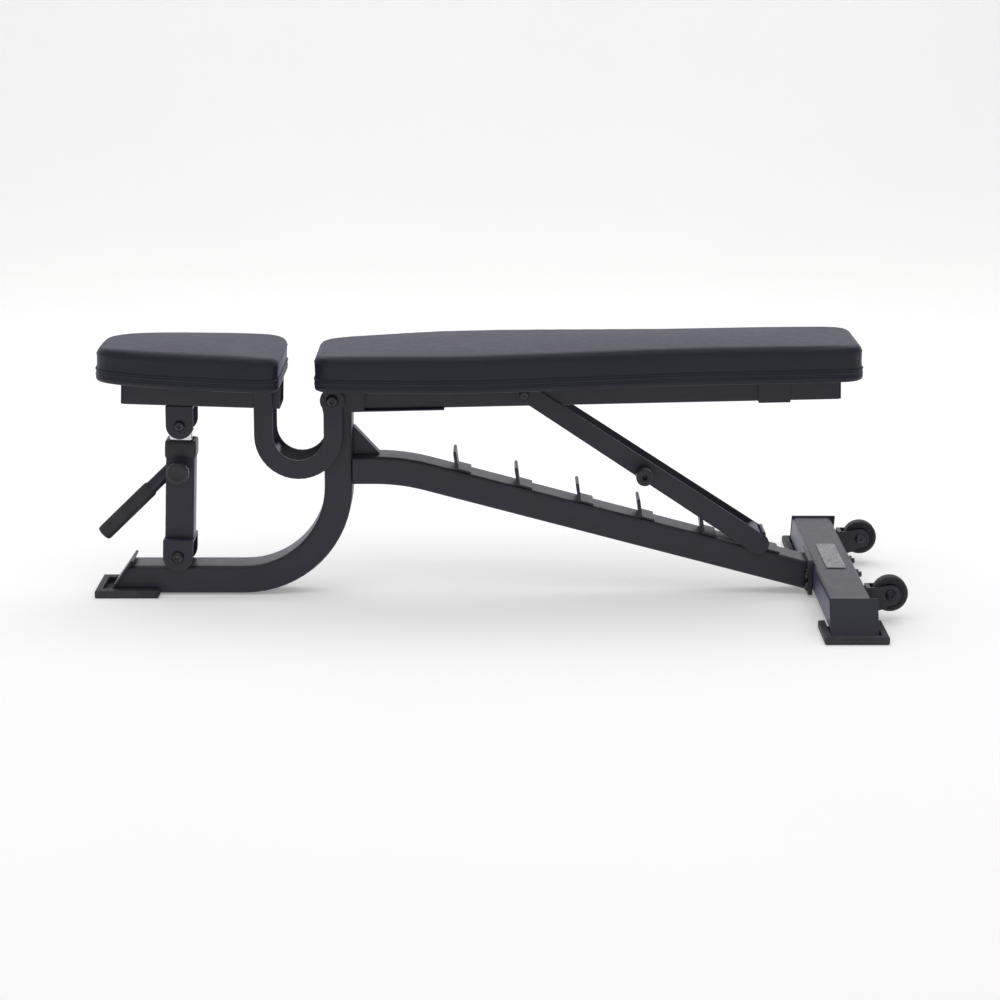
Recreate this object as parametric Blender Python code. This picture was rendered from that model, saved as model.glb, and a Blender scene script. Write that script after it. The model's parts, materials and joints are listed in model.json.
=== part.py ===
"""Adjustable weight bench, in metres, +Z up, seat towards -X and transport wheels towards +X.

The origin lies on the floor under the middle of the bench. The seat and the backrest turn about one
main hinge on top of the upright. Helpers come first, then one function for each sub-assembly.
"""
import math
from math import cos, sin, pi, radians, tan

import bmesh
import bpy
from mathutils import Matrix, Vector

# ---- driving dimensions -------------------------------------------------------------------------
GAP = 0.0003                     # clearance between touching pieces
HINGE = (-0.275, 0.341)          # main hinge (x, z)
BACK_TILT = radians(1.25)        # the backrest rises towards its head end
SEAT_TILT = radians(1.8)         # the seat rises towards its nose

TUBE_W = 0.075                   # main tube and ladder beam, across the bench
TUBE_H = 0.048                   # main tube, in the bench's plane
TUBE_WALL = 0.003
BASE_BOTTOM = 0.003
UPRIGHT_X = -0.2665              # centre line of the upright
UPRIGHT_TOP = 0.345
BEND_R = 0.163                   # centre-line radius of the big bend
BEND_CENTRE = (UPRIGHT_X - BEND_R, BASE_BOTTOM + TUBE_H / 2 + BEND_R)

FRONT_SLANT = radians(34.7)      # the front end plate leans back from vertical
FRONT_TOE = (-0.658, 0.012)      # lowest point of the front end plate's outer face
END_PLATE_T = 0.005

BEAM_H = 0.048
BEAM_SLOPE = radians(14.8)
BEAM_KNEE = (-0.155, 0.2415)     # where the beam's flat top line meets its sloping top line
BEAM_KNEE_R = 0.35
BEAM_END = 0.5355

CATCH_X = (-0.0670, 0.0377, 0.1424, 0.2471, 0.3540, 0.4620)   # each catch's foot
CATCH_LEAN = radians(8.0)        # tab from vertical, towards the seat
CATCH_TALL = 0.0300
CATCH_T = 0.0058
CATCH_FOOT = 0.027

CROSS_X = (0.544, 0.614)
CROSS_Z = (0.010, 0.060)
CROSS_HALF_TOP = 0.3235
CROSS_HALF_FOOT = 0.352
FLANGE_BOLTS = [(y, z) for y in (-0.052, 0.052) for z in (0.0205, 0.0405)]
FLANGE_T = 0.0075
FLANGE_HALF = 0.062

FOOT_H = 0.0135
FOOT_FLOOR = 0.0026
FOOT_RIM = 0.0115

WHEEL = (0.6544, 0.0475)         # wheel axis (x, z)
WHEEL_Y = 0.216
WHEEL_R = 0.0297
WHEEL_HALF = 0.0115

PAD_BOTTOM = 0.0363              # above the hinge, in each pad's own tilted frame
SEAT_TOP = 0.0822
BACK_TOP = 0.0840
BOARD_BOTTOM = 0.0243
FRAME_BOTTOM = -0.0185
FRAME_TOP = 0.0240
SEAT_X = (-0.403, -0.084)        # from the hinge
SEAT_HALF = 0.142
SEAT_CORNER = 0.034
SEAT_FRAME = (-0.3550, -0.0885)  # ends clear of the sweep of the backrest pad's end
BACK_X = (-0.0285, 0.8930)
BACK_HALF_HINGE = 0.118
BACK_HALF_WIDE = 0.151
BACK_HALF_HEAD = 0.118
BACK_CORNER_HINGE = 0.042
BACK_CORNER_HEAD = 0.036
BACK_FRAME = (0.0385, 0.8590)
FRAME_HALF = 0.038               # half width of the seat and back frame tubes

STRUT_TOP = (0.050, 0.3496)      # strut pivot (x, z)
STRUT_HEAD = (0.0525, 0.3540)    # centre and radius of the plates' round upper end
STRUT_HEAD_R = 0.0155
STRUT_END = (0.4514, 0.0911)     # the same for the lower end
STRUT_END_R = 0.0180
STRUT_IN = 0.0385                # inner face of the strut plates
STRUT_OUT = 0.0435
BAR_R = 0.015
PEG = (0.2537, 0.2143)

POST_FOOT = (-0.5424, 0.0683)    # lower pivot of the seat post (x, z)
POST_LEAN = radians(1.9)
POST_LEN = 0.2285                # from the lower pivot to the upper one
POST_HALF = 0.0245
PIN_UP = 0.1496                  # pull pin above the lower pivot, along the post
INNER_HALF = 0.019

U_CENTRE = (-0.333, 0.281)       # centre of the seat's U plates' round stretch
U_OUTER = 0.075
U_INNER = 0.043
U_IN = 0.0455
U_OUT = 0.0515

MATERIALS = {                    # base colour, roughness, metallic
    "frame_paint": ((0.042, 0.042, 0.047), 0.42, 0.35),
    "pad_vinyl": ((0.032, 0.032, 0.040), 0.48, 0.0),
    "board": ((0.35, 0.24, 0.14), 0.75, 0.0),
    "black_plastic": ((0.018, 0.018, 0.021), 0.45, 0.0),
    "rubber": ((0.022, 0.022, 0.024), 0.75, 0.0),
    "tyre": ((0.020, 0.020, 0.022), 0.60, 0.0),
    "fastener": ((0.10, 0.10, 0.11), 0.38, 0.9),
    "bright_tube": ((0.72, 0.73, 0.75), 0.20, 1.0),
    "name_plate": ((0.40, 0.40, 0.44), 0.40, 0.8),
}


# ---- helpers ------------------------------------------------------------------------------------
def clear_scene():
    for obj in list(bpy.data.objects):
        bpy.data.objects.remove(obj, do_unlink=True)


def material(name):
    """The named material, with its colour and finish; each node gets its own copy."""
    colour, roughness, metallic = MATERIALS[name]
    made = bpy.data.materials.new(name)
    made.use_nodes = True
    shader = made.node_tree.nodes["Principled BSDF"]
    shader.inputs["Base Color"].default_value = (*colour, 1.0)
    shader.inputs["Roughness"].default_value = roughness
    shader.inputs["Metallic"].default_value = metallic
    return made


def finish(bm, name, mat, smooth=False):
    """Turn a bmesh into a named object with outward faces."""
    bmesh.ops.remove_doubles(bm, verts=bm.verts, dist=1e-6)
    bmesh.ops.recalc_face_normals(bm, faces=bm.faces)
    mesh = bpy.data.meshes.new(name)
    bm.to_mesh(mesh)
    bm.free()
    obj = bpy.data.objects.new(name, mesh)
    bpy.context.scene.collection.objects.link(obj)
    if mat:
        mesh.materials.append(material(mat))
    if smooth:
        mesh.shade_smooth()
        mesh.set_sharp_from_angle(angle=radians(35))
    return obj


def arc(centre, radius, start, end, steps):
    """Points on an arc, angles in degrees, both ends included."""
    angles = [radians(start + (end - start) * i / steps) for i in range(steps + 1)]
    return [(centre[0] + radius * cos(a), centre[1] + radius * sin(a)) for a in angles]


def prism(name, mat, outline, low, high, axis="Y", smooth=False):
    """Extrude a closed outline: (x, z) along Y, (x, y) along Z, or (y, z) along X."""
    place = {"Y": lambda p, d: (p[0], d, p[1]),
             "Z": lambda p, d: (p[0], p[1], d),
             "X": lambda p, d: (d, p[0], p[1])}[axis]
    bm = bmesh.new()
    first = [bm.verts.new(place(p, low)) for p in outline]
    last = [bm.verts.new(place(p, high)) for p in outline]
    bm.faces.new(first)
    bm.faces.new(last)
    count = len(outline)
    for i in range(count):
        j = (i + 1) % count
        bm.faces.new((first[i], first[j], last[j], last[i]))
    return finish(bm, name, mat, smooth)


def box(name, mat, x, y, z):
    return prism(name, mat, [(x[0], z[0]), (x[1], z[0]), (x[1], z[1]), (x[0], z[1])], y[0], y[1])


def turned(name, mat, profile, centre, axis="Y", steps=18):
    """Revolve a closed profile of (radius, distance) pairs about an axis through centre."""
    bm = bmesh.new()
    rings = []
    for radius, along in profile:
        if radius < 1e-7:
            rings.append([bm.verts.new((0, 0, along))])
            continue
        ring = [bm.verts.new((radius * cos(2 * pi * i / steps), radius * sin(2 * pi * i / steps), along))
                for i in range(steps)]
        rings.append(ring)
    closed = profile[0][0] > 1e-7
    pairs = list(zip(rings, rings[1:])) + ([(rings[-1], rings[0])] if closed else [])
    for a, b in pairs:
        for i in range(steps):
            j = (i + 1) % steps
            corners = [a[i % len(a)], a[j % len(a)], b[j % len(b)], b[i % len(b)]]
            unique = list(dict.fromkeys(corners))
            if len(unique) > 2:
                bm.faces.new(unique)
    turn = {"Y": Matrix.Rotation(-pi / 2, 4, "X"), "X": Matrix.Rotation(pi / 2, 4, "Y"),
            "Z": Matrix.Identity(4)}[axis]
    bmesh.ops.transform(bm, matrix=Matrix.Translation(centre) @ turn, verts=bm.verts)
    return finish(bm, name, mat, smooth=True)


def rod(name, mat, point, radius, low, high, steps=18, chamfer=0.0):
    """A solid round bar along Y at (x, z)."""
    profile = [(0, low), (radius - chamfer, low), (radius, low + chamfer),
               (radius, high - chamfer), (radius - chamfer, high), (0, high)]
    if not chamfer:
        profile = [(0, low), (radius, low), (radius, high), (0, high)]
    return turned(name, mat, profile, (point[0], 0, point[1]), steps=steps)


def pipe(name, mat, point, outer, inner, low, high, steps=20):
    """A round tube along Y at (x, z)."""
    profile = [(inner, low), (outer, low), (outer, high), (inner, high)]
    return turned(name, mat, profile, (point[0], 0, point[1]), steps=steps)


def through_bolt(name, point, shank, head, reach, head_t, domed=True):
    """A bolt along Y with a round head at both ends; reach is the half length of its shank."""
    top = head * 0.62 if domed else head
    tip = reach + head_t
    half = [(shank, reach), (head, reach), (head, reach + head_t * 0.5), (top, tip), (0, tip)]
    profile = [(radius, -along) for radius, along in reversed(half)] + half
    return turned(name, "fastener", profile, (point[0], 0, point[1]), steps=14)


def section(width, height, corner, steps=2):
    """Rounded rectangle about the origin, as (across, up) pairs."""
    points = []
    for sx, sy, start in ((1, 1, 0), (-1, 1, 90), (-1, -1, 180), (1, -1, 270)):
        centre = (sx * (width / 2 - corner), sy * (height / 2 - corner))
        points += arc(centre, corner, start, start + 90, steps)
    return points


def tube(name, mat, path, width, height, wall, corner=0.006, cuts=(None, None)):
    """Sweep a hollow rectangular tube along (x, z, heading) stations; width runs along Y.

    cuts gives the heading of each end face's normal, where it isn't square to the tube.
    """
    outer = section(width, height, corner)
    inner = section(width - 2 * wall, height - 2 * wall, max(corner - wall, 0.001))
    bm = bmesh.new()
    loops = {0: [], 1: []}
    for number, (x, z, heading) in enumerate(path):
        along = Vector((cos(heading), 0, sin(heading)))
        up = Vector((-sin(heading), 0, cos(heading)))
        end = {0: cuts[0], len(path) - 1: cuts[1]}.get(number)
        for kind, shape in enumerate((outer, inner)):
            ring = []
            for across, rise in shape:
                spot = Vector((x, 0, z)) + up * rise
                if end is not None:
                    normal = Vector((cos(end), 0, sin(end)))
                    spot -= along * (up.dot(normal) * rise / along.dot(normal))
                ring.append(bm.verts.new(spot + Vector((0, across, 0))))
            loops[kind].append(ring)
    for kind in (0, 1):
        for a, b in zip(loops[kind], loops[kind][1:]):
            for i in range(len(a)):
                j = (i + 1) % len(a)
                bm.faces.new((a[i], a[j], b[j], b[i]))
    for end in (0, -1):
        a, b = loops[0][end], loops[1][end]
        for i in range(len(a)):
            j = (i + 1) % len(a)
            bm.faces.new((a[i], a[j], b[j], b[i]))
    return finish(bm, name, mat, smooth=True)


def combine(obj, other, operation):
    """Cut other out of obj, or join it to obj, and drop other."""
    modifier = obj.modifiers.new(operation.lower(), "BOOLEAN")
    modifier.operation = operation
    modifier.solver = "EXACT"
    modifier.object = other
    bpy.context.view_layer.update()
    graph = bpy.context.evaluated_depsgraph_get()
    mesh = bpy.data.meshes.new_from_object(obj.evaluated_get(graph))
    obj.modifiers.clear()
    obj.data = mesh
    bpy.data.objects.remove(other, do_unlink=True)
    return obj


def drill(obj, point, radius, low=-0.2, high=0.2, steps=16):
    """Drill a round hole along Y at (x, z)."""
    return combine(obj, rod("cutter", None, point, radius, low, high, steps), "DIFFERENCE")


def bevel(obj, width, segments=2, angle=40):
    modifier = obj.modifiers.new("bevel", "BEVEL")
    modifier.width = width
    modifier.segments = segments
    modifier.limit_method = "ANGLE"
    modifier.angle_limit = radians(angle)
    return obj


def ride(obj, parent):
    """Parent to an empty and move the origin onto it, with the shape left where it is."""
    world = obj.matrix_world.copy()
    obj.parent = parent
    obj.matrix_parent_inverse = Matrix.Identity(4)
    obj.data.transform(parent.matrix_world.inverted() @ world)
    obj.matrix_basis = Matrix.Identity(4)
    return obj


def pivot(name, point, parent=None, turn=0.0, y=0.0):
    """An empty on a joint's axis, turned about Y."""
    empty = bpy.data.objects.new(name, None)
    empty.empty_display_size = 0.03
    bpy.context.scene.collection.objects.link(empty)
    empty.location = (point[0], y, point[1])
    empty.rotation_euler = (0, turn, 0)
    bpy.context.view_layer.update()
    if parent:
        empty.parent = parent
        empty.matrix_parent_inverse = parent.matrix_world.inverted()
        bpy.context.view_layer.update()
    return empty


# ---- fixed frame --------------------------------------------------------------------------------
def beam_top(x):
    """Height of the ladder beam's sloping top line."""
    return BEAM_KNEE[1] - tan(BEAM_SLOPE) * (x - BEAM_KNEE[0])


def on_beam(x, along, up):
    """A point up from the beam's top, starting at the foot at x, in the beam's own directions."""
    return (x + along * cos(BEAM_SLOPE) + up * sin(BEAM_SLOPE),
            beam_top(x) - along * sin(BEAM_SLOPE) + up * cos(BEAM_SLOPE))


def main_tube():
    centre_z = BASE_BOTTOM + TUBE_H / 2
    toe_x = FRONT_TOE[0] + (centre_z - FRONT_TOE[1]) * tan(FRONT_SLANT)
    start = toe_x + (END_PLATE_T + GAP) / cos(FRONT_SLANT)
    path = [(start, centre_z, 0.0)]
    bend_steps = 16
    for i in range(bend_steps + 1):
        heading = pi / 2 * i / bend_steps
        path.append((BEND_CENTRE[0] + BEND_R * sin(heading), BEND_CENTRE[1] - BEND_R * cos(heading), heading))
    path.append((UPRIGHT_X, UPRIGHT_TOP, pi / 2))
    obj = tube("main_tube", "frame_paint", path, TUBE_W, TUBE_H, TUBE_WALL, cuts=(-FRONT_SLANT, None))
    return add_bushes(obj)


def add_bushes(obj):
    """Weld the main hinge's bush on the upright, and the seat post's bush on a block on the base."""
    half = TUBE_W / 2 + 0.0004
    combine(obj, rod("join", None, HINGE, 0.016, -half, half, 20), "UNION")
    drill(obj, HINGE, 0.0063)
    block = box("join", None, (POST_FOOT[0] - 0.012, POST_FOOT[0] + 0.012), (-0.030, 0.030),
                (BASE_BOTTOM + TUBE_H - 0.001, POST_FOOT[1]))
    combine(obj, block, "UNION")
    combine(obj, rod("join", None, POST_FOOT, 0.0147, -0.0381, 0.0381, 18), "UNION")
    return drill(obj, POST_FOOT, 0.0053)


def ladder_beam():
    start = UPRIGHT_X + TUBE_H / 2 + GAP
    half = BEAM_H / 2
    path = [(start, BEAM_KNEE[1] - half, 0.0)]
    run = (BEAM_KNEE_R + half) * tan(BEAM_SLOPE / 2)
    centre = (BEAM_KNEE[0] - run, BEAM_KNEE[1] - half - BEAM_KNEE_R)
    knee_steps = 6
    for i in range(knee_steps + 1):
        heading = -BEAM_SLOPE * i / knee_steps
        path.append((centre[0] - BEAM_KNEE_R * sin(heading), centre[1] + BEAM_KNEE_R * cos(heading), heading))
    x, z, heading = path[-1]
    path.append((BEAM_END, z - (BEAM_END - x) * tan(BEAM_SLOPE), heading))
    return tube("ladder_beam", "frame_paint", path, TUBE_W, BEAM_H, TUBE_WALL, cuts=(None, 0.0))


def catch(number):
    """An upright tab on a foot plate, welded on the beam; number 1 is nearest the upright."""
    x = CATCH_X[number - 1]
    lean = BEAM_SLOPE + CATCH_LEAN
    rise = (-sin(lean), cos(lean))
    side = (cos(lean), sin(lean))
    tip = (rise[0] * CATCH_TALL, rise[1] * CATCH_TALL)
    back = (tip[0] + side[0] * CATCH_T, tip[1] + side[1] * CATCH_T)
    foot_t = 0.0035
    crook = (side[0] * CATCH_T + rise[0] * 0.002, foot_t)
    local = [(0, 0), (CATCH_FOOT, 0), (CATCH_FOOT, foot_t), crook,
             back, ((tip[0] + back[0]) / 2 + rise[0] * 0.002, (tip[1] + back[1]) / 2 + rise[1] * 0.002), tip]
    outline = [on_beam(x, along, up + GAP) for along, up in local]
    return prism(f"catch_{number}", "frame_paint", outline, -0.0345, 0.0345)


def slanted_plate(name, toe, slant, length, thick):
    """Outline of an end plate in its own plane: toe, then up the slant."""
    top = (toe[0] + length * sin(slant), toe[1] + length * cos(slant))
    inward = (thick * cos(slant), -thick * sin(slant))
    return [toe, top, (top[0] + inward[0], top[1] + inward[1]), (toe[0] + inward[0], toe[1] + inward[1])]


def front_end():
    """Slanted plate that closes the main tube, and the foot under it."""
    low = (FRONT_TOE[0] - 0.0055 * tan(FRONT_SLANT), FRONT_TOE[1] - 0.0055)
    outline = slanted_plate("front_end_plate", low, FRONT_SLANT, 0.068, END_PLATE_T)
    plate = prism("front_end_plate", "frame_paint", outline, -0.0425, 0.0425)
    bevel(plate, 0.0012)
    foot = box("front_foot", "rubber", (-0.6841, -0.575), (-0.0636, 0.0636), (0, FOOT_H))
    round_edges(foot, 0.002)
    pocket = box("cutter", None, (-0.6841 + FOOT_RIM, -0.5), (-0.0435, 0.0435), (FOOT_FLOOR, 0.05))
    combine(foot, pocket, "DIFFERENCE")


def crossmember():
    """Rear tube with both ends slanted, drilled for the flange bolts."""
    rise = CROSS_Z[1] - CROSS_Z[0]
    slant = math.atan2(CROSS_HALF_FOOT - CROSS_HALF_TOP, rise)
    mid_z = (CROSS_Z[0] + CROSS_Z[1]) / 2
    mid_y = (CROSS_HALF_TOP + CROSS_HALF_FOOT) / 2 - (END_PLATE_T + GAP) / cos(slant)
    width = CROSS_X[1] - CROSS_X[0]
    obj = tube("crossmember", "frame_paint", [(-mid_y, mid_z, 0.0), (mid_y, mid_z, 0.0)],
               width, rise, TUBE_WALL, cuts=(-slant, slant))
    turn = Matrix.Translation(((CROSS_X[0] + CROSS_X[1]) / 2, 0, 0)) @ Matrix.Rotation(pi / 2, 4, "Z")
    obj.data.transform(turn)
    for y, z in FLANGE_BOLTS:
        hole = turned("cutter", None, [(0, 0.5), (0.0053, 0.5), (0.0053, 0.7), (0, 0.7)], (0, y, z), "X", 12)
        combine(obj, hole, "DIFFERENCE")
    for side, label in ((-1, "near"), (1, "far")):
        toe_z = FOOT_FLOOR + 2 * GAP + END_PLATE_T * sin(slant)
        toe = (CROSS_HALF_FOOT + (CROSS_Z[0] - toe_z) * tan(slant), toe_z)
        length = 0.0580 / cos(slant)
        outline = slanted_plate("end", (-toe[0], toe[1]), slant, length, END_PLATE_T)
        outline = [(y * -side, z) for y, z in outline]
        plate = prism(f"cross_end_plate_{label}", "frame_paint", outline, CROSS_X[0] - 0.001,
                      CROSS_X[1] + 0.008, axis="X")
        bevel(plate, 0.0012)
        inner, outer = 0.264, 0.381
        foot = box(f"rear_foot_{label}", "rubber", (0.531, 0.636), sorted((side * inner, side * outer)),
                   (0, FOOT_H))
        round_edges(foot, 0.0035, segments=3)
        pocket = box("cutter", None, (0.531 + FOOT_RIM, 0.636 - FOOT_RIM),
                     sorted((side * (inner - 0.02), side * (outer - FOOT_RIM))), (FOOT_FLOOR, 0.05))
        combine(foot, pocket, "DIFFERENCE")


def flange():
    """Plate between the beam and the crossmember; each side's two bolts share a nut plate."""
    x0 = BEAM_END + GAP
    plate = prism("beam_flange", "frame_paint", section_at(0.124, 0.062, 0.008, 0.035), x0,
                  x0 + FLANGE_T, axis="X")
    bolts = []
    for number, (y, z) in enumerate(FLANGE_BOLTS, 1):
        hole = turned("cutter", None, [(0, 0.5), (0.0053, 0.5), (0.0053, 0.7), (0, 0.7)], (0, y, z), "X", 12)
        combine(plate, hole, "DIFFERENCE")
        shank = (x0 - GAP, CROSS_X[1] + GAP)
        head = 0.0055
        profile = [(0, shank[0] - head), (0.006, shank[0] - head), (0.009, shank[0] - head * 0.4),
                   (0.009, shank[0]), (0.005, shank[0]), (0.005, shank[1]), (0.0095, shank[1]),
                   (0.0095, shank[1] + 0.008), (0.005, shank[1] + 0.008), (0.005, shank[1] + 0.013),
                   (0, shank[1] + 0.013)]
        bolts.append(turned(f"flange_bolt_{number}", "fastener", profile, (0, y, z), "X", 12))
    for (lower, upper), label in zip((bolts[:2], bolts[2:]), ("near", "far")):
        y = FLANGE_BOLTS[0][0] if label == "near" else FLANGE_BOLTS[2][0]
        nut_plate = box("join", None, (CROSS_X[1] + GAP, CROSS_X[1] + 0.0025), (y - 0.011, y + 0.011),
                        (0.0130, 0.0480))
        combine(combine(lower, nut_plate, "UNION"), upper, "UNION")
        lower.name = f"flange_bolts_{label}"


def section_at(width, height, corner, centre_z):
    return [(y, z + centre_z) for y, z in section(width, height, corner, 3)]


def small_frame_parts():
    face = UPRIGHT_X + TUBE_H / 2 + GAP
    top = BEAM_KNEE[1] + GAP
    outline = [(face, top), (face + 0.0445, top), (face + 0.0445, top + 0.003), (face + 0.003, 0.2895),
               (face, 0.2895)]
    prism("gusset", "frame_paint", outline, -0.014, 0.014)
    through_bolt("hinge_axle", HINGE, 0.006, 0.0105, U_OUT + GAP, 0.007)
    plate = box("name_plate", "name_plate", (0.563, 0.596), (-0.092, 0.092),
                (CROSS_Z[1] + GAP, CROSS_Z[1] + 0.0018))
    bevel(plate, 0.0005, 1)


def wheel_parts(side, label):
    """Fork, axle, tyre and hub of one transport wheel."""
    y = side * WHEEL_Y
    back = CROSS_X[1] + GAP
    inside = WHEEL_HALF + 0.0028
    outside = inside + 0.004
    nose = arc(WHEEL, 0.0165, -90, 90, 10)
    cheek = [(back, 0.016), (WHEEL[0] - 0.012, 0.0235)] + nose + [(back + 0.014, 0.060), (back, 0.060)]
    fork = prism(f"wheel_fork_{label}", "frame_paint", cheek, y - outside, y + outside)
    slot = box("cutter", None, (back + 0.0045, 0.7), (y - inside, y + inside), (0.0, 0.0565))
    combine(fork, slot, "DIFFERENCE")
    window = box("cutter", None, (back + 0.0065, 0.7), (y - inside, y + inside), (0.05, 0.1))
    combine(fork, window, "DIFFERENCE")
    drill(fork, WHEEL, 0.0053, -0.3, 0.3)
    end = outside + 0.0003
    head = 0.0045
    profile = [(0, -end - head), (0.007, -end - head), (0.009, -end - head * 0.4), (0.009, -end),
               (0.005, -end), (0.005, end), (0.009, end), (0.009, end + head), (0, end + head)]
    axle = turned(f"wheel_axle_{label}", "fastener", profile, (WHEEL[0], y, WHEEL[1]), steps=14)
    crown = [(WHEEL_R - 0.004, -WHEEL_HALF), (WHEEL_R - 0.001, -WHEEL_HALF * 0.65),
             (WHEEL_R, 0.0), (WHEEL_R - 0.001, WHEEL_HALF * 0.65), (WHEEL_R - 0.004, WHEEL_HALF)]
    tyre = turned(f"wheel_tyre_{label}", "tyre", [(0.0215, -WHEEL_HALF)] + crown + [(0.0215, WHEEL_HALF)],
                  (WHEEL[0], y, WHEEL[1]), steps=32)
    rim = 0.0212
    web = 0.006
    hub_profile = [(0.0053, -0.0128), (0.0095, -0.0128), (0.0095, -web), (0.0180, -web),
                   (0.0180, 0.001 - WHEEL_HALF), (rim, 0.001 - WHEEL_HALF), (rim, WHEEL_HALF - 0.001),
                   (0.0180, WHEEL_HALF - 0.001), (0.0180, web), (0.0095, web), (0.0095, 0.0128),
                   (0.0053, 0.0128)]
    hub = turned(f"wheel_hub_{label}", "black_plastic", hub_profile, (WHEEL[0], y, WHEEL[1]), steps=20)
    spin = pivot(f"wheel_spin_{label}", WHEEL, y=y)
    ride(tyre, spin)
    ride(hub, spin)


# ---- seat ---------------------------------------------------------------------------------------
def seat_outline(inset, steps=14):
    """Plan of the seat: a blunt round nose, widening towards the hinge, with round rear corners."""
    length = SEAT_X[1] - SEAT_X[0]
    corner = SEAT_CORNER
    side = []
    for i in range(1, steps + 1):
        share = (i / steps) ** 2.2
        along = share * (length - corner)
        half = SEAT_HALF * (1 - (1 - along / length) ** 1.29) ** 0.20
        side.append((SEAT_X[0] + along, half))
    end_half = side[-1][1]
    side += arc((SEAT_X[1] - corner, end_half - corner), corner, 90, 0, 5)[1:]
    points = [(SEAT_X[0], 0.0)] + side
    points += [(x, -y) for x, y in reversed(side)]
    return shrink(points, inset, (SEAT_X[0] + SEAT_X[1]) / 2)


def back_half(share):
    """Half width of the backrest at a share of its length from the hinge end."""
    def ease(t):
        t = min(max(t, 0.0), 1.0)
        return t * t * (3 - 2 * t)
    widen = BACK_HALF_HINGE + (BACK_HALF_WIDE - BACK_HALF_HINGE) * ease(share / 0.27)
    return widen + (BACK_HALF_HEAD - BACK_HALF_WIDE) * ease((share - 0.27) / 0.45)


def back_outline(inset, steps=12):
    """Plan of the backrest: narrow at the hinge, widest over the shoulders' start, then straight."""
    length = BACK_X[1] - BACK_X[0]
    corner = BACK_CORNER_HINGE
    side = arc((BACK_X[0] + corner, back_half(0) - corner), corner, 180, 90, 6)
    for i in range(1, steps):
        share = 0.05 + 0.72 * i / steps
        side.append((BACK_X[0] + share * length, back_half(share)))
    corner = BACK_CORNER_HEAD
    side += arc((BACK_X[1] - corner, back_half(1) - corner), corner, 90, 0, 6)
    points = side + [(x, -y) for x, y in reversed(side)]
    return shrink(points, inset, (BACK_X[0] + BACK_X[1]) / 2)


def shrink(points, inset, middle):
    """Move each point of a plan towards the pad's middle line and middle, by about the inset."""
    low = min(x for x, _ in points)
    high = max(x for x, _ in points)
    wide = max(abs(y) for _, y in points)
    along = 1 - 2 * inset / (high - low)
    across = 1 - inset / wide
    return [(middle + (x - middle) * along, y * across) for x, y in points]


def pad(name, outline, top, edge=0.010):
    obj = prism(name, "pad_vinyl", outline, PAD_BOTTOM, top, axis="Z", smooth=True)
    return bevel(obj, edge, 2, 60)


def seat_parts():
    hinge = pivot("seat_hinge", HINGE)
    frame = pivot("seat_frame_axes", HINGE, hinge, SEAT_TILT)
    pieces = [pad("seat_pad", seat_outline(0), SEAT_TOP),
              prism("seat_board", "board", seat_outline(0.007), BOARD_BOTTOM, PAD_BOTTOM - GAP, axis="Z")]
    mid = (FRAME_BOTTOM + FRAME_TOP) / 2
    ends = SEAT_FRAME
    height = FRAME_TOP - FRAME_BOTTOM
    pieces.append(tube("seat_frame", "frame_paint", [(ends[0], mid, 0), (ends[1], mid, 0)],
                       2 * FRAME_HALF + 0.012, height, 0.0025, 0.004))
    cap_t = 0.003
    pieces.append(box("seat_frame_cap", "black_plastic", (ends[0] - cap_t, ends[0] - GAP),
                      (-FRAME_HALF - 0.005, FRAME_HALF + 0.005), (FRAME_BOTTOM + 0.001, FRAME_TOP - 0.001)))
    for piece in pieces:
        piece.parent = frame

    left, right = U_CENTRE[0] - U_OUTER, U_CENTRE[0] + U_OUTER
    top = HINGE[1] + 0.0195
    for low, high, label in ((-U_OUT, -U_IN, "near"), (U_IN, U_OUT, "far")):
        head = arc(HINGE, 0.021, -35, 215, 16)
        outline = (arc(U_CENTRE, U_OUTER, 180, 360, 20) + [(right, HINGE[1] - 0.016)] + head
                   + [(U_CENTRE[0] + U_INNER, HINGE[1] - 0.022)]
                   + arc(U_CENTRE, U_INNER, 0, -180, 16) + [(left + U_OUTER - U_INNER, top), (left, top)])
        plate = prism(f"u_plate_{label}", "frame_paint", outline, low, high)
        drill(plate, HINGE, 0.0063)
        ride(plate, hinge)
    spacer = pipe("u_spacer", "frame_paint", (U_CENTRE[0] - 0.045, U_CENTRE[1] - 0.038), 0.011, 0.008,
                  -U_IN + GAP, U_IN - GAP, 20)
    ride(spacer, hinge)

    post_top = (POST_FOOT[0] + POST_LEN * sin(POST_LEAN), POST_FOOT[1] + POST_LEN * cos(POST_LEAN))
    ear_half = 0.0232
    tilt_up = HINGE[1] + FRAME_BOTTOM - (post_top[0] - HINGE[0]) * tan(SEAT_TILT)
    clevis_top = [tilt_up + x * -tan(SEAT_TILT) - 0.0006 for x in (-ear_half, ear_half)]
    ear = arc(post_top, ear_half, 180, 360, 14)
    outline = ear + [(post_top[0] + ear_half, clevis_top[1]), (post_top[0] - ear_half, clevis_top[0])]
    clevis = prism("upper_clevis", "frame_paint", outline, -0.0445, 0.0445)
    web = clevis_top[1] - 0.0045
    combine(clevis, box("cutter", None, (-0.7, -0.4), (-0.0400, 0.0400), (0.2, web)), "DIFFERENCE")
    drill(clevis, post_top, 0.0053)
    ride(clevis, hinge)
    ride(through_bolt("upper_clevis_bolt", post_top, 0.005, 0.0092, 0.0448, 0.006), hinge)


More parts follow.
